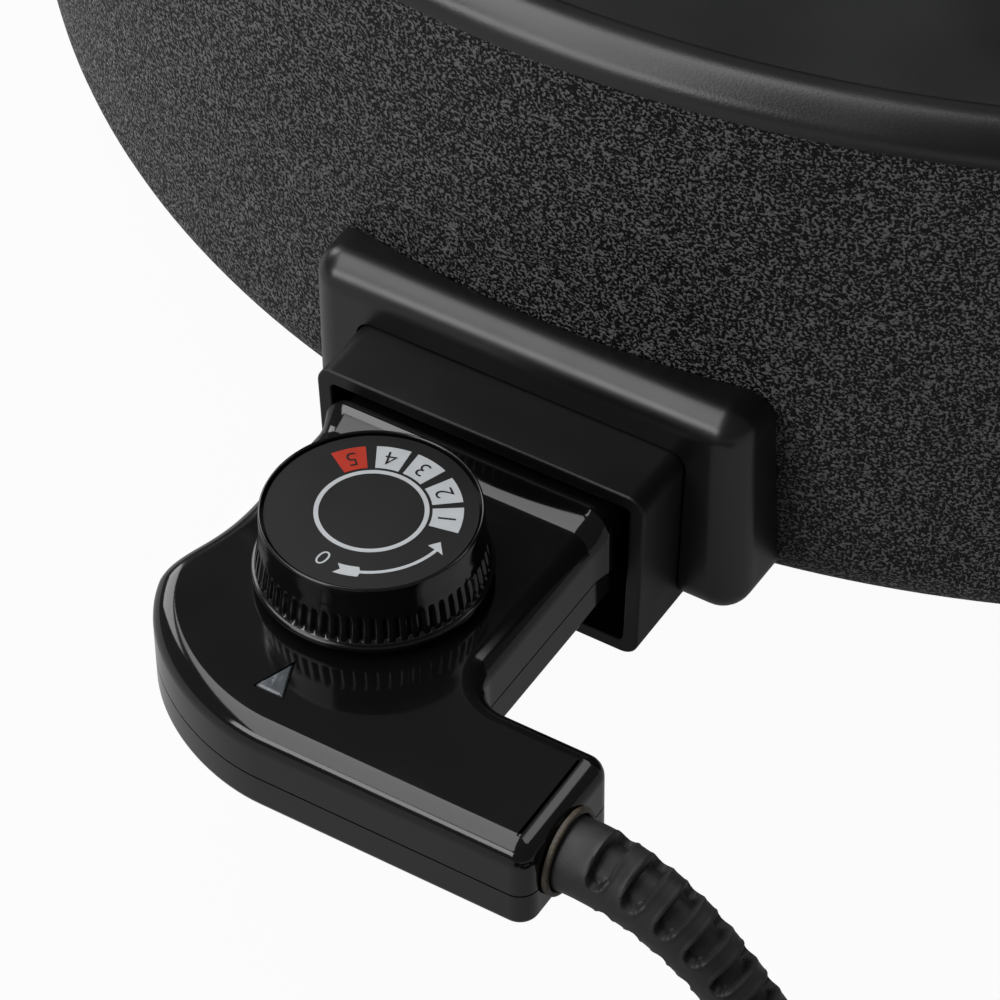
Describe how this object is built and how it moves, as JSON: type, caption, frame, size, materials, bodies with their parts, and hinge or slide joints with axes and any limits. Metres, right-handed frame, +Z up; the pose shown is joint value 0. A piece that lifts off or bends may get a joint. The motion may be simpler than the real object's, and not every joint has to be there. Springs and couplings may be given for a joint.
{
  "type": "electric pizza pan",
  "caption": "Round deep electric pan with a hammered black wall, side handles and feet, and a plug-in thermostat with a dial knob, strain relief and coiled cord.",
  "frame": {"origin": "on the standing plane, under the middle of the bounding box without the cord", "axes": "+Z up; -Y towards the thermostat at the front; +X right, where the cord leaves"},
  "size_m": [0.4754, 0.5854, 0.119],
  "materials": {
    "hammered_black": "fine hammered grain, satin",
    "nonstick_coating": "satin non-stick coating on cast aluminium",
    "satin_black": "satin moulded phenolic",
    "matte_black": "matte moulded phenolic",
    "gloss_black": "high gloss moulding",
    "black_rubber": "matte flexible PVC or rubber",
    "steel": "drawn stainless tube",
    "plated_steel": "dull zinc plating",
    "cast_aluminium": "bare mill finish",
    "brass": "bare, lightly oxidised",
    "ceramic": "unglazed ceramic",
    "brown_phenolic": "brown phenolic board",
    "clear_lens": "clear moulded lens",
    "lamp_glass": "neon lamp glass"
  },
  "bodies": {
    "pan": {"outer_shell": "hammered_black", "inner_pan": "nonstick_coating", "socket_plinth": "satin_black", "socket_sleeve": "matte_black", "left_handle": "matte_black", "right_handle": "matte_black", "foot_1": "black_rubber", "foot_2": "black_rubber", "foot_3": "black_rubber", "foot_4": "black_rubber", "heating_element": "steel", "base_cover": "plated_steel", "foot_screw_1": "plated_steel", "foot_screw_2": "plated_steel", "foot_screw_3": "plated_steel", "foot_screw_4": "plated_steel", "centre_spacer": "plated_steel", "centre_washer": "plated_steel", "centre_nut": "plated_steel", "centre_stud": "plated_steel", "left_handle_screw_1": "plated_steel", "left_handle_screw_2": "plated_steel", "right_handle_screw_1": "plated_steel", "right_handle_screw_2": "plated_steel", "socket_screw_left": "plated_steel", "socket_screw_right": "plated_steel", "reflector_plate": "cast_aluminium", "probe_well": "cast_aluminium", "pin_carrier": "ceramic", "line_pin_left": "brass", "line_pin_right": "brass", "earth_pin": "brass"},
    "thermostat": {"thermostat_upper_shell": "gloss_black", "thermostat_lower_shell": "gloss_black", "case_screw_1": "plated_steel", "case_screw_2": "plated_steel", "case_screw_3": "plated_steel", "switch_bracket": "plated_steel", "plug_pin_1": "plated_steel", "plug_pin_2": "plated_steel", "pilot_lens": "clear_lens", "pilot_lamp": "lamp_glass", "contact_stack": "ceramic", "contact_block": "brown_phenolic", "cord_clamp": "brown_phenolic", "gland_ring": "brown_phenolic", "line_contact_left": "brass", "earth_contact": "brass", "line_contact_right": "brass", "sensing_probe": "steel", "strain_relief_boot": "black_rubber", "cord": "black_rubber", "cord_coil": "black_rubber", "plug_body": "black_rubber"},
    "knob": {"control_knob": "gloss_black", "dial_face": "satin_black", "knob_spindle": "brass"},
    "adjuster": {"adjusting_pin": "ceramic"},
    "blade": {"contact_blade": "brass"}
  },
  "joints": [
    {"name": "thermostat_slide", "type": "slide", "parent": "pan", "child": "thermostat", "axis": [0, -1, 0], "range_m": [0, 0.097]},
    {"name": "knob_turn", "type": "hinge", "parent": "thermostat", "child": "knob", "pos_m": [0, -0.20539, 0.0445], "axis": [0, 0, -1], "range_deg": [0, 232]},
    {"name": "adjusting_pin_slide", "type": "slide", "parent": "thermostat", "child": "adjuster", "axis": [0, 0, -1], "range_m": [0, 0.0006]},
    {"name": "contact_blade_bend", "type": "hinge", "parent": "thermostat", "child": "blade", "pos_m": [0, -0.19339, 0.0307], "axis": [1, 0, 0], "range_deg": [0, 2.86]}
  ],
  "couplings": [
    {"joint": "adjusting_pin_slide", "follows": "knob_turn", "m_per_rad": 0.000148},
    {"joint": "contact_blade_bend", "follows": "knob_turn", "ratio": 0.0123}
  ]
}
